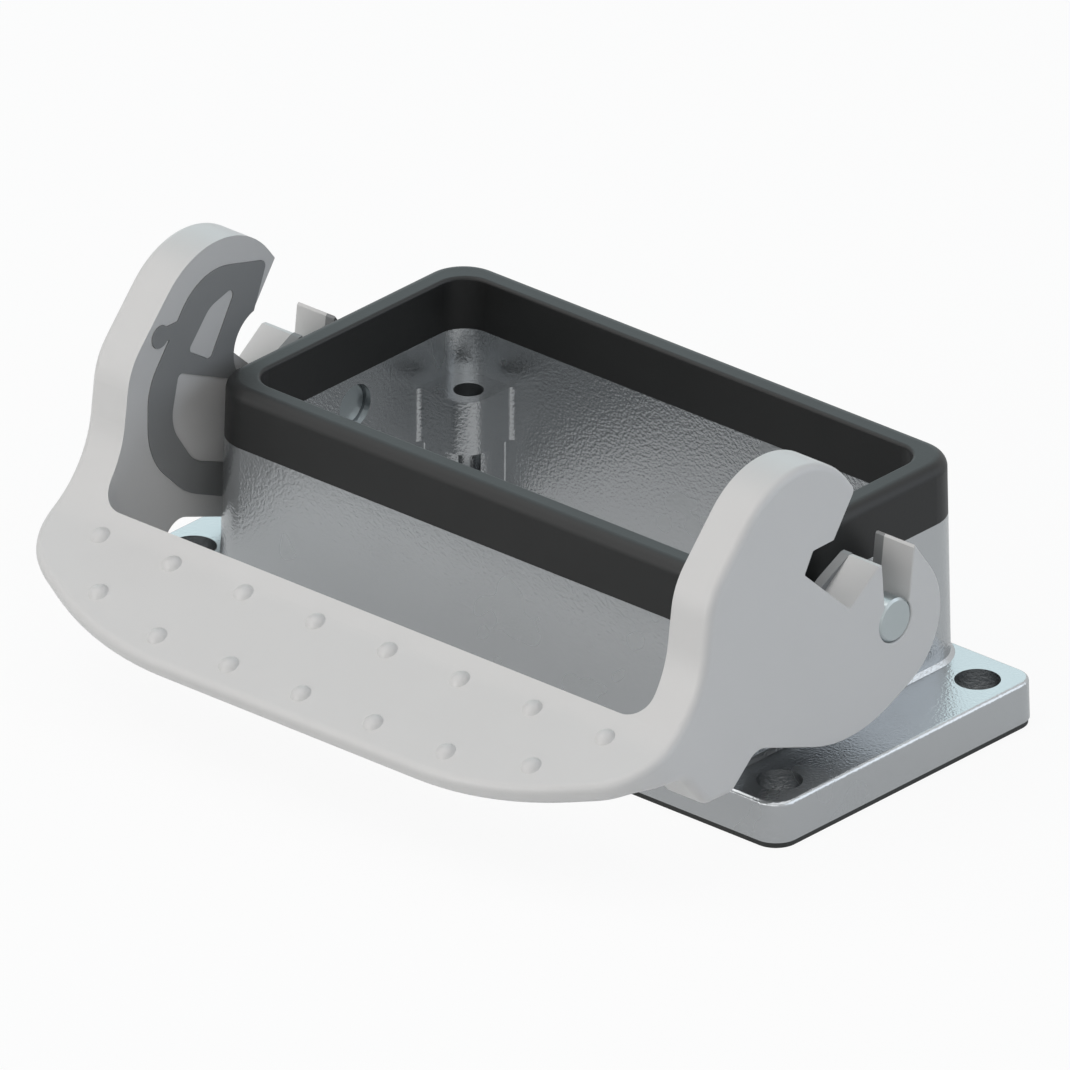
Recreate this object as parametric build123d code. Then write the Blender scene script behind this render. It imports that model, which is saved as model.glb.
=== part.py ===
from build123d import *
import os
from math import cos, radians, sin, tan

# Bulkhead housing of a heavy duty rectangular connector, with one locking lever along its
# long side. The cast metal housing is screwed to a panel over a cut-out. A contact insert
# sits inside it on four corner posts, a rubber seal caps its rim, and the lever hooks the
# pegs of the mating hood.
# Frame in millimetres: X runs along the long side, -Y points to the lever's handle and +Z
# points away from the panel. The origin is the middle of the flange screw pattern, on the
# panel's face. The lever is modelled open, with its handle down.

# Walls, measured at the line where the seal begins
BODY_LENGTH = 72.0
BODY_WIDTH = 41.0
BODY_CORNER_R = 5.0
BODY_HEIGHT = 22.0
WALL = 3.25
WALL_DRAFT = 1.5
WALL_FOOT = 0.45
INNER_CORNER_R = 3.3

# Flange and panel screws. The margins put the four holes on 83 x 32 mm.
PANEL_HOLE_BEYOND_WALL = 5.5
PANEL_HOLE_BEHIND_WALL = 4.5
PANEL_HOLE_D = 5.0
FLANGE_END_MARGIN = 4.25
FLANGE_SIDE_LEDGE = 0.55
FLANGE_THICKNESS = 4.65
FLANGE_CORNER_R = 2.6
FLANGE_EDGE_R = 0.45
FLANGE_DRAFT = 2.0
GASKET_THICKNESS = 0.65

# Rim tongue and the rubber seal pushed over it
SEAL_HEIGHT = 6.7
SEAL_OUTER_R = 1.4
SEAL_INNER_R = 0.4
SEAL_SKIRT = 0.95
SEAL_CROWN = 2.0
SEAL_FIT = 0.02
INNER_LEDGE_RISE = 0.6

# Corner posts that carry the contact insert. The margins put their screws on 57 x 27 mm.
INSERT_SCREW_FROM_END = 4.25
INSERT_SCREW_FROM_SIDE = 3.75
INSERT_SCREW_D = 3.3
INSERT_SCREW_DEPTH = 11.0
POST_LENGTH = 7.1
POST_WIDTH = 6.9
POST_DROP = 4.6
POST_HEAD_HEIGHT = 6.3
POST_NOSE_R = 2.6
POST_ROOT_R = 0.6
SHANK_INSET = 0.9
SHANK_NOSE_R = 4.0
SHANK_ROOT_R = 0.2

# Pivot pins pressed into the short walls
PIVOT_DROP = 3.05
PIN_D = 5.0
PIN_PRESS_GAP = 0.01
PIN_RUN_GAP = 0.06
PIN_SETBACK = 0.9
PIN_EDGE = 0.25
PIN_BOSS_D = 8.8
PIN_BOSS_RISE = 2.0

# Locking lever, across its width
SIDE_PLAY = 0.3
CHEEK_THICKNESS = 5.3
LEVER_EDGE_R = 0.9
CHEEK_EDGE_R = 0.2

# Handle plate: it slopes down and outwards. Distances run along the slope from the foot
# of the perpendicular that the pivot drops on the plate's top face.
HANDLE_SLOPE = 25.7
HANDLE_RISE = 14.0
HANDLE_THICKNESS = 2.6
HANDLE_INNER = 31.7
HANDLE_WIDTH = 15.45
HANDLE_SHOULDER_DROP = 8.2
HANDLE_SHOULDER_LENGTH = 16.0
HANDLE_CORNER_R = 9.0
HANDLE_BOW_R = 40.0
HANDLE_INNER_R = 3.0
LOWER_EDGE_R = 1.0

# Grip bumps in two rows on the plate
BUMP_D = 2.3
BUMP_HEIGHT = 0.6
BUMP_END_MARGIN = 8.0
BUMP_ROW_FROM_INNER = 3.2
BUMP_ROW_FROM_OUTER = 3.35
BUMPS_IN_ROW = 8
END_BUMP_SHIFT = 2.3

# Side view of a cheek. Each corner is (Y, Z) from the pivot, with the radius that rounds it.
HORN_TIP = (-6.6, 18.2)
HORN_BACK = (-15.4, 29.4)
HORN_BACK_R = 10.5
CHEEK_FRONT = (-29.8, 13.3)
CHEEK_FRONT_R = 8.0
HANDLE_ROOT = 28.1
HANDLE_ROOT_R = 12.0
RUNOUT_FROM_OUTER = 8.85
RUNOUT_R = 3.0
SKIRT_LENGTH = 5.0
SKIRT_DROP = 5.0
SKIRT_R = 2.5
FOOT_HEEL = (-30.1, -10.8)
FOOT_HEEL_R = 1.5
FOOT_TIP = (-26.6, -10.9)
SCREW_NOTCH = (-22.2, -6.9)
SCREW_NOTCH_R = 2.5
DISC_UNDER = (-6.7, -12.5)
DISC_UNDER_R = 16.5
DISC_REAR = (11.7, -4.0)
DISC_REAR_R = 8.3
SLOT_REAR_TOP = (2.9, 8.0)
SLOT_FRONT_TOP = (-2.25, 7.3)
SLOT_REAR_GRIP = 0.4
SLOT_FRONT_GRIP = 0.9
SLOT_NECK_HEIGHT = 1.0
SLOT_LEAD_IN = 0.5
TOOTH = (-2.8, 7.35)
PEG_RAMP = (-7.4, 4.05)
PEG_STOP = (-14.7, 10.75)
PEG_ROOF_BACK = (-13.4, 13.1)
PEG_ROOF_FRONT = (-10.1, 13.15)
HOOK_R = 0.25

# Wear plates let into the inner faces of the cheeks
PLATE_THICKNESS = 1.2
PLATE_PROUD = 0.12
PLATE_FIT = 0.03
PLATE_RIM = (
    (-26.9, 10.1, 7.0),
    (-26.9, 1.6, 9.0),
    (-20.7, -4.6, 10.0),
    (-9.0, -9.6, 9.0),
    (5.4, -6.0, 5.0),
    (5.4, 3.4, 3.0),
)
PLATE_TOP = (-18.6, 21.3)
PLATE_TOP_R = 7.0
PLATE_TIP = (-8.0, 18.5)
PLATE_TIP_R = 0.8
PEG_SEAT = (-9.0, 9.05)
PEG_SEAT_R = 4.3
PEG_SEAT_LOW = (-6.5, 5.56)
LUG = (-25.0, 15.5)
LUG_D = 2.6
LUG_NECK = 1.7
LUG_REACH = 5.0
UPPER_WINDOW = (
    (-12.6, 17.5, 0.7),
    (-17.2, 16.2, 3.0),
    (-20.6, 12.2, 0.6),
    (-17.0, 9.9, 0.6),
)
LOWER_WINDOW = (
    (-22.1, 10.2, 0.6),
    (-23.4, 4.4, 5.0),
    (-19.6, -1.2, 5.0),
    (-9.4, -5.2, 2.0),
    (-6.4, 0.6, 2.0),
    (-14.0, 6.6, 2.0),
)

# How far cutters run past what they cut, how close counts as equal, and how far from the
# pivot the lever's outer skin begins
CUT = 5.0
NEAR = 0.01
SKIN_REACH = 19.0

# Sizes that follow from those above
FLANGE_TOP = GASKET_THICKNESS + FLANGE_THICKNESS
INNER_LEDGE_Z = BODY_HEIGHT + INNER_LEDGE_RISE
SEAL_TOP = BODY_HEIGHT + SEAL_HEIGHT
TONGUE_TOP = SEAL_TOP - SEAL_CROWN
POST_TOP = BODY_HEIGHT - POST_DROP
PIVOT_HEIGHT = BODY_HEIGHT - PIVOT_DROP
INNER_LENGTH = BODY_LENGTH - 2 * WALL
INNER_WIDTH = BODY_WIDTH - 2 * WALL
PANEL_HOLE_X = BODY_LENGTH / 2 + PANEL_HOLE_BEYOND_WALL
PANEL_HOLE_Y = BODY_WIDTH / 2 - PANEL_HOLE_BEHIND_WALL
INSERT_SCREW_X = INNER_LENGTH / 2 - INSERT_SCREW_FROM_END
INSERT_SCREW_Y = INNER_WIDTH / 2 - INSERT_SCREW_FROM_SIDE
FLANGE_LENGTH = 2 * (PANEL_HOLE_X + FLANGE_END_MARGIN)
FLANGE_WIDTH = BODY_WIDTH + 2 * FLANGE_SIDE_LEDGE
BOSS_FACE = BODY_LENGTH / 2 + PIN_BOSS_RISE
CHEEK_INNER = BOSS_FACE + SIDE_PLAY + PLATE_PROUD
LEVER_SIDE = CHEEK_INNER + CHEEK_THICKNESS
HANDLE_OUTER = HANDLE_INNER + HANDLE_WIDTH
RUNOUT = HANDLE_OUTER - RUNOUT_FROM_OUTER
SEAT_R = PIN_D / 2 + PIN_RUN_GAP
SLOT_REAR_NECK = (PIN_D / 2 - SLOT_REAR_GRIP, SLOT_NECK_HEIGHT)
SLOT_FRONT_NECK = (SLOT_FRONT_GRIP - PIN_D / 2, SLOT_NECK_HEIGHT)
SLOPE = radians(HANDLE_SLOPE)
CORNERS = ((1, 1), (-1, 1), (-1, -1), (1, -1))


def rounded_block(length, width, corner_r, low, high, draft=0.0):
    """Upright block with rounded corners, drawn in on all sides as it rises."""
    plan = Plane.XY.offset(low) * RectangleRounded(length, width, corner_r)
    return extrude(plan, high - low, taper=draft)


def wall_growth(height_below_rim):
    """How far the drafted wall stands out at a height under the seal line."""
    return height_below_rim * tan(radians(WALL_DRAFT))


def tongue_block(inset, low, high):
    """Block whose sides lie a distance inside the wall's outer face at the seal line."""
    corner_r = max(BODY_CORNER_R - inset, INNER_CORNER_R)
    return rounded_block(BODY_LENGTH - 2 * inset, BODY_WIDTH - 2 * inset, corner_r, low, high)


def cavity_plan(inset, nose_r, root_r):
    """Plan of the hollow between the corner posts, which are thinner than their heads by inset."""
    plan = Rectangle(INNER_LENGTH, INNER_WIDTH)
    nose_x = INNER_LENGTH / 2 - POST_LENGTH + inset
    nose_y = INNER_WIDTH / 2 - POST_WIDTH + inset
    for sign_x, sign_y in CORNERS:
        post = Rectangle(POST_LENGTH, POST_WIDTH)
        plan -= Pos(sign_x * (nose_x + POST_LENGTH / 2), sign_y * (nose_y + POST_WIDTH / 2)) * post
    noses = [v for v in plan.vertices() if abs(v.X) < nose_x + NEAR and abs(v.Y) < nose_y + NEAR]
    plan = fillet(noses, nose_r)
    roots = [
        v
        for v in plan.vertices()
        if (abs(abs(v.X) - nose_x) < NEAR and abs(v.Y) > INNER_WIDTH / 2 - NEAR)
        or (abs(v.X) > INNER_LENGTH / 2 - NEAR and abs(abs(v.Y) - nose_y) < NEAR)
    ]
    return fillet(roots, root_r)


def four_holes(across, along, hole_d, middle_z, length):
    """Four upright round cutters at the corners of a rectangle."""
    hole = Cylinder(hole_d / 2, length)
    return [Pos(sx * across, sy * along, middle_z) * hole for sx, sy in CORNERS]


def make_housing():
    """Die-cast flange and walls in one piece, open through to the panel cut-out."""
    spread = FLANGE_THICKNESS * tan(radians(FLANGE_DRAFT))
    flange = rounded_block(
        FLANGE_LENGTH + 2 * spread,
        FLANGE_WIDTH + 2 * spread,
        FLANGE_CORNER_R + spread,
        GASKET_THICKNESS,
        FLANGE_TOP,
        FLANGE_DRAFT,
    )
    outline = rounded_block(FLANGE_LENGTH, FLANGE_WIDTH, FLANGE_CORNER_R, FLANGE_TOP, BODY_HEIGHT)
    flange = fillet(flange.edges().group_by(Axis.Z)[-1], FLANGE_EDGE_R)

    wall_start = FLANGE_TOP - FLANGE_EDGE_R
    base = wall_growth(BODY_HEIGHT - wall_start)
    walls = rounded_block(
        BODY_LENGTH + 2 * base,
        BODY_WIDTH + 2 * base,
        BODY_CORNER_R + base,
        wall_start,
        BODY_HEIGHT,
        WALL_DRAFT,
    )
    foot_growth = wall_growth(BODY_HEIGHT - FLANGE_TOP) + WALL_FOOT
    foot = rounded_block(
        BODY_LENGTH + 2 * foot_growth,
        BODY_WIDTH + 2 * foot_growth,
        BODY_CORNER_R + foot_growth,
        FLANGE_TOP,
        FLANGE_TOP + WALL_FOOT,
        45,
    )
    body = flange + walls + (foot & outline)
    boss = Plane.YZ.offset(-BOSS_FACE) * Pos(0, PIVOT_HEIGHT) * Circle(PIN_BOSS_D / 2)
    below_rim = rounded_block(2 * LEVER_SIDE, BODY_WIDTH, BODY_CORNER_R, 0, BODY_HEIGHT)
    body += extrude(boss, 2 * BOSS_FACE) & below_rim
    body += tongue_block(SEAL_SKIRT, BODY_HEIGHT, TONGUE_TOP)

    shank_top = POST_TOP - POST_HEAD_HEIGHT
    shank = cavity_plan(SHANK_INSET, SHANK_NOSE_R, SHANK_ROOT_R)
    head = cavity_plan(0, POST_NOSE_R, POST_ROOT_R)
    body -= extrude(Plane.XY.offset(-CUT) * shank, shank_top + CUT)
    body -= extrude(Plane.XY.offset(shank_top) * head, POST_HEAD_HEIGHT)
    body -= rounded_block(INNER_LENGTH, INNER_WIDTH, INNER_CORNER_R, POST_TOP, INNER_LEDGE_Z)
    body -= tongue_block(WALL - SEAL_SKIRT, INNER_LEDGE_Z, SEAL_TOP)

    body -= four_holes(PANEL_HOLE_X, PANEL_HOLE_Y, PANEL_HOLE_D, FLANGE_TOP, 4 * FLANGE_THICKNESS)
    body -= four_holes(
        INSERT_SCREW_X, INSERT_SCREW_Y, INSERT_SCREW_D, POST_TOP, 2 * INSERT_SCREW_DEPTH
    )
    bore = Plane.YZ.offset(-LEVER_SIDE) * Pos(0, PIVOT_HEIGHT) * Circle(PIN_D / 2 + PIN_PRESS_GAP)
    return body - extrude(bore, 2 * LEVER_SIDE)


def make_rim_seal():
    """Rubber cap over the rim: a skirt on each side of the tongue, its crown rounded outside."""
    seal = rounded_block(
        BODY_LENGTH, BODY_WIDTH, BODY_CORNER_R, BODY_HEIGHT, SEAL_TOP, WALL_DRAFT
    )
    seal = fillet(seal.edges().group_by(Axis.Z)[-1], SEAL_OUTER_R)
    seal -= rounded_block(INNER_LENGTH, INNER_WIDTH, INNER_CORNER_R, 0, SEAL_TOP + CUT)
    crown = seal.faces().sort_by(Axis.Z)[-1]
    seal = fillet(crown.inner_wires()[0].edges(), SEAL_INNER_R)
    groove = tongue_block(SEAL_SKIRT - SEAL_FIT, 0, TONGUE_TOP)
    groove -= tongue_block(WALL - SEAL_SKIRT + SEAL_FIT, 0, SEAL_TOP)
    seal -= groove
    return seal - tongue_block(SEAL_SKIRT - SEAL_FIT, 0, INNER_LEDGE_Z)


def make_flange_gasket():
    """Thin flat rubber sheet between the flange and the panel, cut out in the middle."""
    gasket = rounded_block(FLANGE_LENGTH, FLANGE_WIDTH, FLANGE_CORNER_R, 0, GASKET_THICKNESS)
    gasket -= rounded_block(INNER_LENGTH, INNER_WIDTH, INNER_CORNER_R, -CUT, CUT)
    return gasket - four_holes(PANEL_HOLE_X, PANEL_HOLE_Y, PANEL_HOLE_D, 0, CUT)


def make_pivot_pin(side):
    """Plain steel pin pressed into a short wall, its end flush with the cheek."""
    start = INNER_LENGTH / 2 + PIN_SETBACK
    pin = Plane.YZ.offset(start) * Pos(0, PIVOT_HEIGHT) * Circle(PIN_D / 2)
    pin = extrude(pin, LEVER_SIDE - start)
    pin = chamfer(pin.edges().filter_by(GeomType.CIRCLE), PIN_EDGE)
    return pin if side > 0 else pin.mirror(Plane.YZ)


def side_point(corner):
    """Point of the side view: (Y, Z) from the pivot, put at its place in the frame."""
    return (corner[0], corner[1] + PIVOT_HEIGHT)


def slope_point(along, depth=0.0):
    """Side view point on the handle's slope, a depth below its top face."""
    out = along * cos(SLOPE) + (HANDLE_RISE - depth) * sin(SLOPE)
    up = (HANDLE_RISE - depth) * cos(SLOPE) - along * sin(SLOPE)
    return (-out, up)


def rounded_outline(corners):
    """Closed flat outline through (Y, Z, radius) corners given from the pivot."""
    points = [side_point(corner) for corner in corners]
    return make_face(FilletPolyline(*points, radius=[c[2] for c in corners], close=True).edges())


def cheek_outline():
    """Side view of the whole lever: horn, hook, pivot disc, foot and handle."""
    handle_end = HANDLE_OUTER + CUT
    corners = (
        (*HORN_TIP, 0),
        (*HORN_BACK, HORN_BACK_R),
        (*CHEEK_FRONT, CHEEK_FRONT_R),
        (*slope_point(HANDLE_ROOT), HANDLE_ROOT_R),
        (*slope_point(handle_end), 0),
        (*slope_point(handle_end, HANDLE_THICKNESS), 0),
        (*slope_point(RUNOUT, HANDLE_THICKNESS), RUNOUT_R),
        (*slope_point(RUNOUT - SKIRT_LENGTH, SKIRT_DROP), SKIRT_R),
        (*FOOT_HEEL, FOOT_HEEL_R),
        (*FOOT_TIP, 0),
        (*SCREW_NOTCH, SCREW_NOTCH_R),
        (*DISC_UNDER, DISC_UNDER_R),
        (*DISC_REAR, DISC_REAR_R),
        (*SLOT_REAR_TOP, 0),
        (*SLOT_FRONT_TOP, 0),
        (*TOOTH, 0),
        (*PEG_RAMP, HOOK_R),
        (*PEG_STOP, HOOK_R),
        (*PEG_ROOF_BACK, HOOK_R),
        (*PEG_ROOF_FRONT, HOOK_R),
    )
    return rounded_outline(corners) - pin_slot()


def pin_slot():
    """Keyhole that snaps over the pin: a round seat and a mouth open at the top."""
    rise = SLOT_REAR_TOP[1] - SLOT_REAR_NECK[1]
    lean = (SLOT_REAR_TOP[0] - SLOT_REAR_NECK[0]) / rise
    front_rise = SLOT_FRONT_TOP[1] - SLOT_FRONT_NECK[1]
    front_lean = (SLOT_FRONT_TOP[0] - SLOT_FRONT_NECK[0]) / front_rise
    lead_in = (SLOT_REAR_TOP[0] - lean * SLOT_LEAD_IN, SLOT_REAR_TOP[1] - SLOT_LEAD_IN)
    mouth = (
        (*SLOT_REAR_NECK, 0),
        (*lead_in, 0),
        (lead_in[0] + CUT, lead_in[1] + CUT, 0),
        (SLOT_FRONT_TOP[0] + front_lean * CUT, SLOT_FRONT_TOP[1] + CUT, 0),
        (*SLOT_FRONT_NECK, 0),
    )
    return rounded_outline(mouth) + Pos(0, PIVOT_HEIGHT) * Circle(SEAT_R)


def handle_plane():
    """Plane on the plate's top face: local X is X, local Y runs up the slope."""
    origin = side_point(slope_point(0))
    return Plane(origin=(0, *origin), x_dir=(1, 0, 0), z_dir=(0, -sin(SLOPE), cos(SLOPE)))


def handle_plan():
    """Plan of the lever looking square on the plate: straight sides and a bowed edge."""
    top = 2 * HANDLE_OUTER
    corner = HANDLE_SHOULDER_DROP - HANDLE_OUTER
    shoulder = LEVER_SIDE - HANDLE_SHOULDER_LENGTH
    points = (
        (-LEVER_SIDE, top),
        (-LEVER_SIDE, corner),
        (-shoulder, -HANDLE_OUTER),
        (shoulder, -HANDLE_OUTER),
        (LEVER_SIDE, corner),
        (LEVER_SIDE, top),
    )
    radii = (0, HANDLE_CORNER_R, HANDLE_BOW_R, HANDLE_BOW_R, HANDLE_CORNER_R, 0)
    return make_face(FilletPolyline(*points, radius=radii, close=True).edges())


def bump_places():
    """Grip bumps on the slope: a full row, then a row staggered by half a pitch."""
    pitch = 2 * (LEVER_SIDE - BUMP_END_MARGIN) / (BUMPS_IN_ROW - 1)
    inner_row = HANDLE_INNER + BUMP_ROW_FROM_INNER
    outer_row = HANDLE_OUTER - BUMP_ROW_FROM_OUTER
    places = []
    for i in range(BUMPS_IN_ROW):
        places.append(((i - (BUMPS_IN_ROW - 1) / 2) * pitch, inner_row))
    for i in range(BUMPS_IN_ROW - 1):
        shift = END_BUMP_SHIFT if i in (0, BUMPS_IN_ROW - 2) else 0
        places.append(((i - (BUMPS_IN_ROW - 2) / 2) * pitch, outer_row - shift))
    return places


def slope_reading(point):
    """Distance along the slope and height over the plate's top face of a point."""
    local = handle_plane().to_local_coords(point)
    return -local.Y, local.Z


def lever_edges(lever):
    """Long outer edges of the lever: round its top skin, under the plate, round the cheeks."""
    upper = []
    lower = []
    cheek = []
    for edge in lever.edges():
        middle = edge @ 0.5
        along, height = slope_reading(middle)
        from_pivot = (middle.Y**2 + (middle.Z - PIVOT_HEIGHT) ** 2) ** 0.5
        in_side = all(abs(abs((edge @ end).X) - LEVER_SIDE) < NEAR for end in (0, 0.5, 1))
        over_plate = along > HANDLE_INNER + 1 and abs(height) < NEAR
        skin = height > -NEAR and from_pivot > SKIN_REACH
        if skin and (in_side or over_plate):
            upper.append(edge)
        elif abs(height + HANDLE_THICKNESS) < NEAR and along > RUNOUT and not in_side:
            if abs((edge % 0.5).X) > NEAR or along > HANDLE_OUTER - 1:
                lower.append(edge)
        elif in_side and middle.Y > FOOT_TIP[0]:
            cheek.append(edge)
    return upper, lower, cheek


def make_locking_lever():
    """Moulded lever in one piece: two cheeks, joined by the handle plate."""
    frame = handle_plane()
    reach = 4 * HANDLE_OUTER
    side_view = Plane.YZ.offset(-LEVER_SIDE) * cheek_outline()
    lever = extrude(side_view, 2 * LEVER_SIDE)
    lever &= extrude(frame.offset(-reach / 2) * handle_plan(), reach)

    window = Rectangle(2 * CHEEK_INNER, reach)
    window = Pos(0, -HANDLE_INNER + reach / 2) * window
    window = fillet(window.vertices().group_by(Axis.Y)[0], HANDLE_INNER_R)
    lever -= extrude(frame.offset(-reach / 2) * window, reach)
    hollow = Pos(0, -HANDLE_INNER) * Rectangle(2 * CHEEK_INNER, reach)
    lever -= extrude(frame.offset(-HANDLE_THICKNESS) * hollow, -reach / 2)

    lever = fillet(lever_edges(lever)[0], LEVER_EDGE_R)
    lever = fillet(lever_edges(lever)[1], LOWER_EDGE_R)
    lever = fillet(lever_edges(lever)[2], CHEEK_EDGE_R)
    ball_r = (BUMP_D**2 / 4 + BUMP_HEIGHT**2) / (2 * BUMP_HEIGHT)
    for across, along in bump_places():
        lever += frame.offset(BUMP_HEIGHT - ball_r) * Pos(across, -along) * Sphere(ball_r)

    recess = offset(wear_plate_outline(), PLATE_FIT)
    depth = PLATE_THICKNESS - PLATE_PROUD
    for side in (1, -1):
        lever -= extrude(Plane.YZ.offset(side * CHEEK_INNER) * recess, side * depth)
    return lever


def wear_plate_outline():
    """Side view of a wear plate: a ring round the hook and the pivot, with two windows."""
    corners = (
        (*PLATE_TIP, PLATE_TIP_R),
        (*PLATE_TOP, PLATE_TOP_R),
        *PLATE_RIM,
        (*SLOT_REAR_TOP, 0),
        (*TOOTH, 0),
        (*PEG_SEAT_LOW, 0),
        (*PEG_SEAT, 0),
        (*PEG_ROOF_FRONT, 0),
    )
    plate = rounded_outline(corners)
    plate += Pos(*side_point((LUG[0] + LUG_REACH / 2, LUG[1]))) * Rectangle(LUG_REACH, LUG_NECK)
    plate += Pos(*side_point(LUG)) * Circle(LUG_D / 2)
    plate -= Pos(*side_point(PEG_SEAT)) * Circle(PEG_SEAT_R)
    plate -= rounded_outline(UPPER_WINDOW)
    plate -= rounded_outline(LOWER_WINDOW)
    return plate - pin_slot()


def make_wear_plate(side):
    """Flat dark plate in the cheek's inner face, where pin and peg bear."""
    face = Plane.YZ.offset(side * (CHEEK_INNER - PLATE_PROUD)) * wear_plate_outline()
    return extrude(face, side * PLATE_THICKNESS)


def build_nodes():
    """All pieces by name, in the order in which they go together."""
    return {
        "housing": make_housing(),
        "rim_seal": make_rim_seal(),
        "flange_gasket": make_flange_gasket(),
        "pivot_pin_right": make_pivot_pin(1),
        "pivot_pin_left": make_pivot_pin(-1),
        "locking_lever": make_locking_lever(),
        "wear_plate_right": make_wear_plate(1),
        "wear_plate_left": make_wear_plate(-1),
    }


os.makedirs("parts", exist_ok=True)
for name, solid in build_nodes().items():
    export_step(solid, f"parts/{name}.step")
    print(name, round(solid.volume, 1), "mm3")
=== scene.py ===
from math import cos, radians, sin

import bpy
from mathutils import Matrix, Vector

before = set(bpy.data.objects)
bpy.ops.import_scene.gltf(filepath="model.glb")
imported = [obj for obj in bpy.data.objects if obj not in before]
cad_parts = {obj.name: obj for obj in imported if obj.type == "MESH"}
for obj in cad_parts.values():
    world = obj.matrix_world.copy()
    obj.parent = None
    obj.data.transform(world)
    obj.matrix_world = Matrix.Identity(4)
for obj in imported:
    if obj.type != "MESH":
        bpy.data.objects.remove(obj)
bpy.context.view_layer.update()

# Camera. A long lens far away, because the picture was taken with hardly any perspective. The
# aim is moved off the panel's centre until the housing stands where it stands in the picture.
VIEW_AZIMUTH = radians(41.192)
VIEW_ELEVATION = radians(26.4)
VIEW_ROLL = radians(0.393)
VIEW_DISTANCE = 5.0
LENS_MM = 1578.9
AIM_RIGHT = -0.00525
AIM_UP = 0.01299

towards_camera = Vector((
    sin(VIEW_AZIMUTH) * cos(VIEW_ELEVATION),
    -cos(VIEW_AZIMUTH) * cos(VIEW_ELEVATION),
    sin(VIEW_ELEVATION),
))
level_right = Vector((cos(VIEW_AZIMUTH), sin(VIEW_AZIMUTH), 0.0))
level_up = towards_camera.cross(level_right)
view_right = cos(VIEW_ROLL) * level_right + sin(VIEW_ROLL) * level_up
view_up = cos(VIEW_ROLL) * level_up - sin(VIEW_ROLL) * level_right
camera_data = bpy.data.cameras.new("long_lens_camera")
camera_data.lens = LENS_MM
camera_data.clip_end = 2 * VIEW_DISTANCE
camera = bpy.data.objects.new("long_lens_camera", camera_data)
bpy.context.scene.collection.objects.link(camera)
place = towards_camera * VIEW_DISTANCE + view_right * AIM_RIGHT + view_up * AIM_UP
turn = Matrix((view_right, view_up, towards_camera)).transposed().to_4x4()
camera.matrix_world = Matrix.Translation(place) @ turn
bpy.context.scene.camera = camera
bpy.context.scene.view_settings.view_transform = "Standard"

# Studio. A white room with six soft boxes, each a metre away and turned to the part: two low in
# front, one high on the left, one overhead, a cool one on the right, a pale blue one at the back.
ROOM_LIGHT = 0.07
WHITE = 1.0
SOFT_BOXES = {
    "key": {"place": (-0.316, -0.925, 0.208), "size": 0.55, "power": 3.0, "tint": (1.0, 0.99, 0.98)},
    "front": {"place": (0.462, -0.862, 0.208), "size": 0.7, "power": 1.7, "tint": (1.0, 0.99, 0.98)},
    "left": {"place": (-0.484, -0.423, 0.766), "size": 0.9, "power": 2.9, "tint": (1.0, 0.99, 0.98)},
    "top": {"place": (0.057, -0.066, 0.996), "size": 1.3, "power": 4.7, "tint": (1.0, 1.0, 1.0)},
    "side": {"place": (0.842, 0.51, 0.174), "size": 1.2, "power": 6.0, "tint": (0.81, 0.895, 1.0)},
    "back": {"place": (-0.615, 0.61, 0.5), "size": 0.8, "power": 1.4, "tint": (0.55, 0.92, 1.0)},
}

world = bpy.data.worlds.new("white_room")
bpy.context.scene.world = world
world.use_nodes = True
nodes, links = world.node_tree.nodes, world.node_tree.links
rays = nodes.new("ShaderNodeLightPath")
seen = nodes.new("ShaderNodeMath")
seen.operation = "MAXIMUM"
links.new(rays.outputs["Is Camera Ray"], seen.inputs[0])
links.new(rays.outputs["Is Glossy Ray"], seen.inputs[1])
shown = nodes.new("ShaderNodeMath")
shown.operation = "MAXIMUM"
links.new(seen.outputs[0], shown.inputs[0])
links.new(rays.outputs["Is Transmission Ray"], shown.inputs[1])
strength = nodes.new("ShaderNodeMapRange")
strength.inputs["To Min"].default_value = ROOM_LIGHT
strength.inputs["To Max"].default_value = WHITE
links.new(shown.outputs[0], strength.inputs["Value"])
room = nodes["Background"]
room.inputs["Color"].default_value = (1, 1, 1, 1)
links.new(strength.outputs["Result"], room.inputs["Strength"])

for name, lamp in SOFT_BOXES.items():
    lamp_data = bpy.data.lights.new(name + "_soft_box", "AREA")
    lamp_data.size = lamp["size"]
    lamp_data.energy = lamp["power"]
    lamp_data.color = lamp["tint"]
    soft_box = bpy.data.objects.new(name + "_soft_box", lamp_data)
    soft_box.location = lamp["place"]
    soft_box.rotation_euler = Vector(lamp["place"]).to_track_quat("Z", "Y").to_euler()
    bpy.context.scene.collection.objects.link(soft_box)

# Floor. Pale paper under the part. The camera sees it almost as pure white light and the gloss
# half as bright, and the rest is a plain diffuse surface that keeps the part's soft shadow.
FLOOR_SIZE = 6.0
FLOOR_TONE = (0.85, 0.85, 0.85, 1)
FLOOR_GLOW = 0.92
FLOOR_GLOW_IN_GLOSS = 0.5

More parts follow.
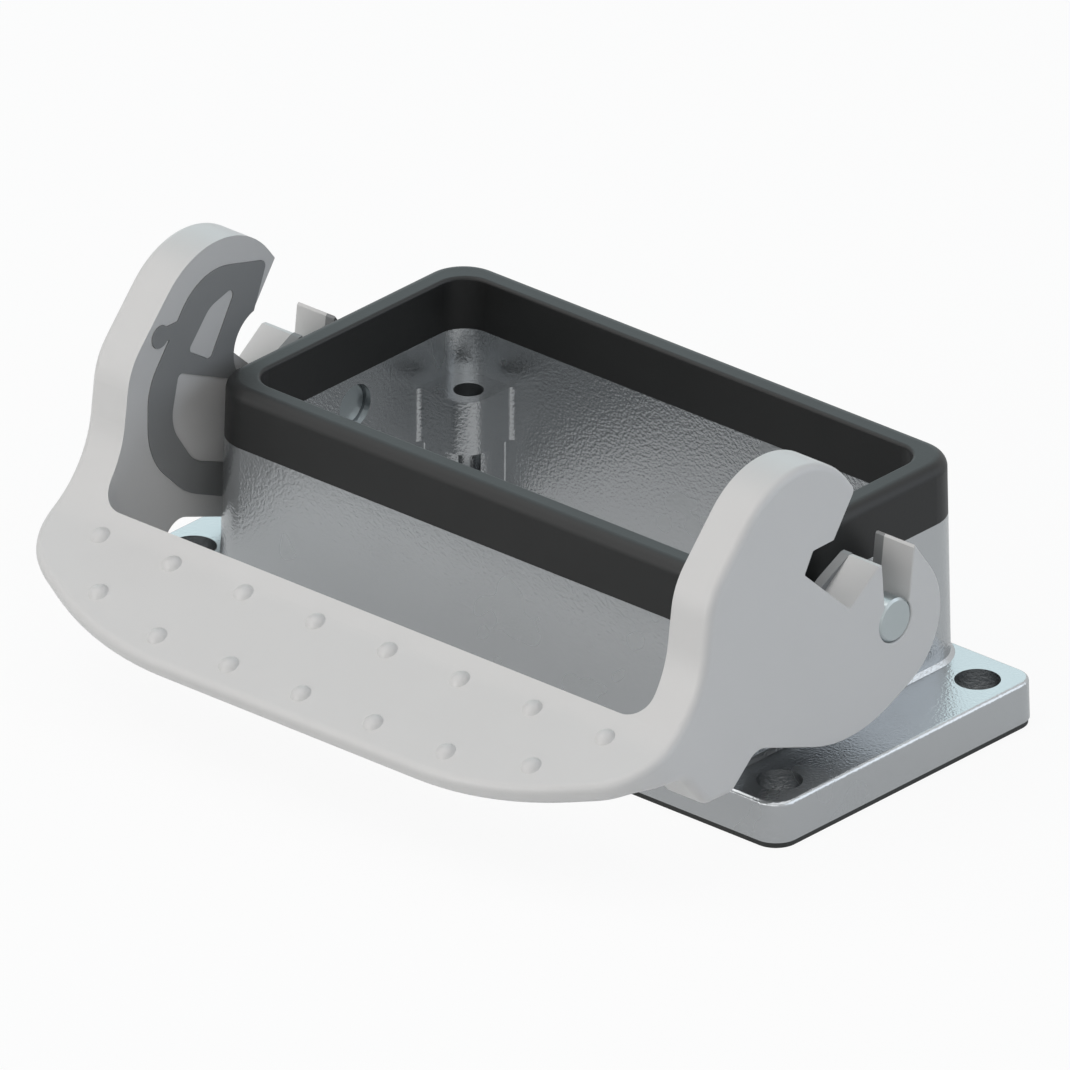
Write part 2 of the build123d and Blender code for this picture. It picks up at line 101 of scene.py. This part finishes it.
bpy.ops.object.select_all(action="DESELECT")
bpy.ops.mesh.primitive_plane_add(size=FLOOR_SIZE)
floor = bpy.context.object
floor.name = "studio_floor"
paper = bpy.data.materials.new("pale_paper")
paper.use_nodes = True
nodes, links = paper.node_tree.nodes, paper.node_tree.links
nodes.remove(nodes["Principled BSDF"])
lit = nodes.new("ShaderNodeBsdfDiffuse")
lit.inputs["Color"].default_value = FLOOR_TONE
glow = nodes.new("ShaderNodeEmission")
glow.inputs["Strength"].default_value = WHITE
rays = nodes.new("ShaderNodeLightPath")
in_gloss = nodes.new("ShaderNodeMath")
in_gloss.operation = "MULTIPLY"
in_gloss.inputs[1].default_value = FLOOR_GLOW_IN_GLOSS
links.new(rays.outputs["Is Glossy Ray"], in_gloss.inputs[0])
share = nodes.new("ShaderNodeMath")
share.operation = "MULTIPLY_ADD"
share.inputs[1].default_value = FLOOR_GLOW
links.new(rays.outputs["Is Camera Ray"], share.inputs[0])
links.new(in_gloss.outputs[0], share.inputs[2])
mix = nodes.new("ShaderNodeMixShader")
links.new(share.outputs[0], mix.inputs["Fac"])
links.new(lit.outputs[0], mix.inputs[1])
links.new(glow.outputs[0], mix.inputs[2])
links.new(mix.outputs[0], nodes["Material Output"].inputs["Surface"])
floor.data.materials.append(paper)

# Housing. One aluminium die casting, flange and walls together, with a silver-grey coat that
# dries to a fine orange peel. It is screwed to the panel through the four flange holes.
COAT_COLOUR = (0.42, 0.435, 0.445, 1)
COAT_SHADE = (0.385, 0.4, 0.41, 1)
COAT_METAL = 0.95
COAT_ROUGHNESS = 0.26
PEEL_PER_METRE = 3000
PEEL_DEPTH = 0.000055
PEEL_SOFTNESS = 0.45


def new_group(name, inputs, outputs):
    """Empty shader node group with named sockets, and its input and output nodes."""
    group = bpy.data.node_groups.new(name, "ShaderNodeTree")
    for label, kind, value in inputs:
        socket = group.interface.new_socket(label, in_out="INPUT", socket_type=kind)
        socket.default_value = value
    for label, kind in outputs:
        group.interface.new_socket(label, in_out="OUTPUT", socket_type=kind)
    return group, group.nodes.new("NodeGroupInput"), group.nodes.new("NodeGroupOutput")


fine_grain, ends, out = new_group(
    "fine_grain",
    [("Cells per Metre", "NodeSocketFloat", 1000), ("Softness", "NodeSocketFloat", 0.5)],
    [("Height", "NodeSocketFloat")],
)
where = fine_grain.nodes.new("ShaderNodeTexCoord")
pits = fine_grain.nodes.new("ShaderNodeTexNoise")
pits.inputs["Detail"].default_value = 2.0
fine_grain.links.new(where.outputs["Object"], pits.inputs["Vector"])
fine_grain.links.new(ends.outputs["Cells per Metre"], pits.inputs["Scale"])
fine_grain.links.new(ends.outputs["Softness"], pits.inputs["Roughness"])
fine_grain.links.new(pits.outputs["Fac"], out.inputs["Height"])

tone_drift, ends, out = new_group(
    "tone_drift",
    [
        ("Colour", "NodeSocketColor", (1, 1, 1, 1)),
        ("Shade", "NodeSocketColor", (1, 1, 1, 1)),
        ("Patches per Metre", "NodeSocketFloat", 100),
    ],
    [("Colour", "NodeSocketColor"), ("Drift", "NodeSocketFloat")],
)
where = tone_drift.nodes.new("ShaderNodeTexCoord")
clouds = tone_drift.nodes.new("ShaderNodeTexNoise")
clouds.inputs["Detail"].default_value = 3.0
blend = tone_drift.nodes.new("ShaderNodeMix")
blend.data_type = "RGBA"
tone_drift.links.new(where.outputs["Object"], clouds.inputs["Vector"])
tone_drift.links.new(ends.outputs["Patches per Metre"], clouds.inputs["Scale"])
tone_drift.links.new(clouds.outputs["Fac"], blend.inputs["Factor"])
tone_drift.links.new(ends.outputs["Colour"], blend.inputs[6])
tone_drift.links.new(ends.outputs["Shade"], blend.inputs[7])
tone_drift.links.new(blend.outputs[2], out.inputs["Colour"])
tone_drift.links.new(clouds.outputs["Fac"], out.inputs["Drift"])


def finish_material(name, colour, shade, patches, roughness, spread, cells, depth, softness=0.5):
    """Material whose colour drifts between two tones, with a fine grain in its surface.

    patches and cells count the cloudy patches and the grains on a metre, roughness varies by
    spread to either side, and depth is how deep the grain is, in metres.
    """
    material = bpy.data.materials.new(name)
    material.use_nodes = True
    nodes, links = material.node_tree.nodes, material.node_tree.links
    shader = nodes["Principled BSDF"]
    tone = nodes.new("ShaderNodeGroup")
    tone.node_tree = tone_drift
    tone.inputs["Colour"].default_value = colour
    tone.inputs["Shade"].default_value = shade
    tone.inputs["Patches per Metre"].default_value = patches
    links.new(tone.outputs["Colour"], shader.inputs["Base Color"])
    rough = nodes.new("ShaderNodeMapRange")
    rough.inputs["To Min"].default_value = roughness - spread
    rough.inputs["To Max"].default_value = roughness + spread
    links.new(tone.outputs["Drift"], rough.inputs["Value"])
    links.new(rough.outputs["Result"], shader.inputs["Roughness"])
    grain = nodes.new("ShaderNodeGroup")
    grain.node_tree = fine_grain
    grain.inputs["Cells per Metre"].default_value = cells
    grain.inputs["Softness"].default_value = softness
    bump = nodes.new("ShaderNodeBump")
    bump.inputs["Distance"].default_value = depth
    links.new(grain.outputs["Height"], bump.inputs["Height"])
    links.new(bump.outputs["Normal"], shader.inputs["Normal"])
    return material


coat = finish_material(
    "silver_grey_coat",
    colour=COAT_COLOUR,
    shade=COAT_SHADE,
    patches=60,
    roughness=COAT_ROUGHNESS,
    spread=0.05,
    cells=PEEL_PER_METRE,
    depth=PEEL_DEPTH,
    softness=PEEL_SOFTNESS,
)
coat.node_tree.nodes["Principled BSDF"].inputs["Metallic"].default_value = COAT_METAL
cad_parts["housing"].material_slots[0].material = coat

# Rim seal. One moulded ring of black rubber, pushed over the rim's tongue from above. The
# mating hood presses on its rounded crown.
SEAL_GLOSS = 0.3
rubber = finish_material(
    "seal_rubber",
    colour=(0.009, 0.0095, 0.0095, 1),
    shade=(0.013, 0.0135, 0.0135, 1),
    patches=150,
    roughness=0.46,
    spread=0.04,
    cells=2500,
    depth=0.000008,
)
rubber.node_tree.nodes["Principled BSDF"].inputs["Specular IOR Level"].default_value = SEAL_GLOSS
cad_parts["rim_seal"].material_slots[0].material = rubber

# Flange gasket. A thin sheet of black foam rubber, cut to the flange's outline and squeezed
# between flange and panel.
foam = finish_material(
    "gasket_rubber",
    colour=(0.016, 0.018, 0.017, 1),
    shade=(0.03, 0.032, 0.031, 1),
    patches=400,
    roughness=0.75,
    spread=0.05,
    cells=4000,
    depth=0.00002,
)
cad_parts["flange_gasket"].material_slots[0].material = foam

# Pivot pins. Two turned steel pins with a plated skin, pressed into the short walls. The lever
# turns on the ends that stand out.
PLATING_METAL = 0.85
plated = finish_material(
    "plated_steel",
    colour=(0.42, 0.465, 0.475, 1),
    shade=(0.38, 0.42, 0.43, 1),
    patches=300,
    roughness=0.3,
    spread=0.05,
    cells=3000,
    depth=0.000006,
)
plated.node_tree.nodes["Principled BSDF"].inputs["Metallic"].default_value = PLATING_METAL
for name in ("pivot_pin_right", "pivot_pin_left"):
    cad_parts[name].material_slots[0].material = plated

# Locking lever. One light grey moulding in glass-filled plastic, snapped over the two pins by
# the slots above them. Its satin skin comes from a finely spark-eroded mould.
lever_skin = finish_material(
    "light_grey_plastic",
    colour=(0.61, 0.606, 0.6, 1),
    shade=(0.585, 0.581, 0.576, 1),
    patches=90,
    roughness=0.37,
    spread=0.04,
    cells=6000,
    depth=0.000006,
)
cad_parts["locking_lever"].material_slots[0].material = lever_skin

# Wear plates. Dark stamped plates let into the cheeks' inner faces, so that the hood's pegs and
# the pins don't bear on plastic.
stamped = finish_material(
    "dark_plate",
    colour=(0.235, 0.24, 0.242, 1),
    shade=(0.21, 0.215, 0.217, 1),
    patches=200,
    roughness=0.5,
    spread=0.05,
    cells=3500,
    depth=0.000008,
)
for name in ("wear_plate_right", "wear_plate_left"):
    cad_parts[name].material_slots[0].material = stamped
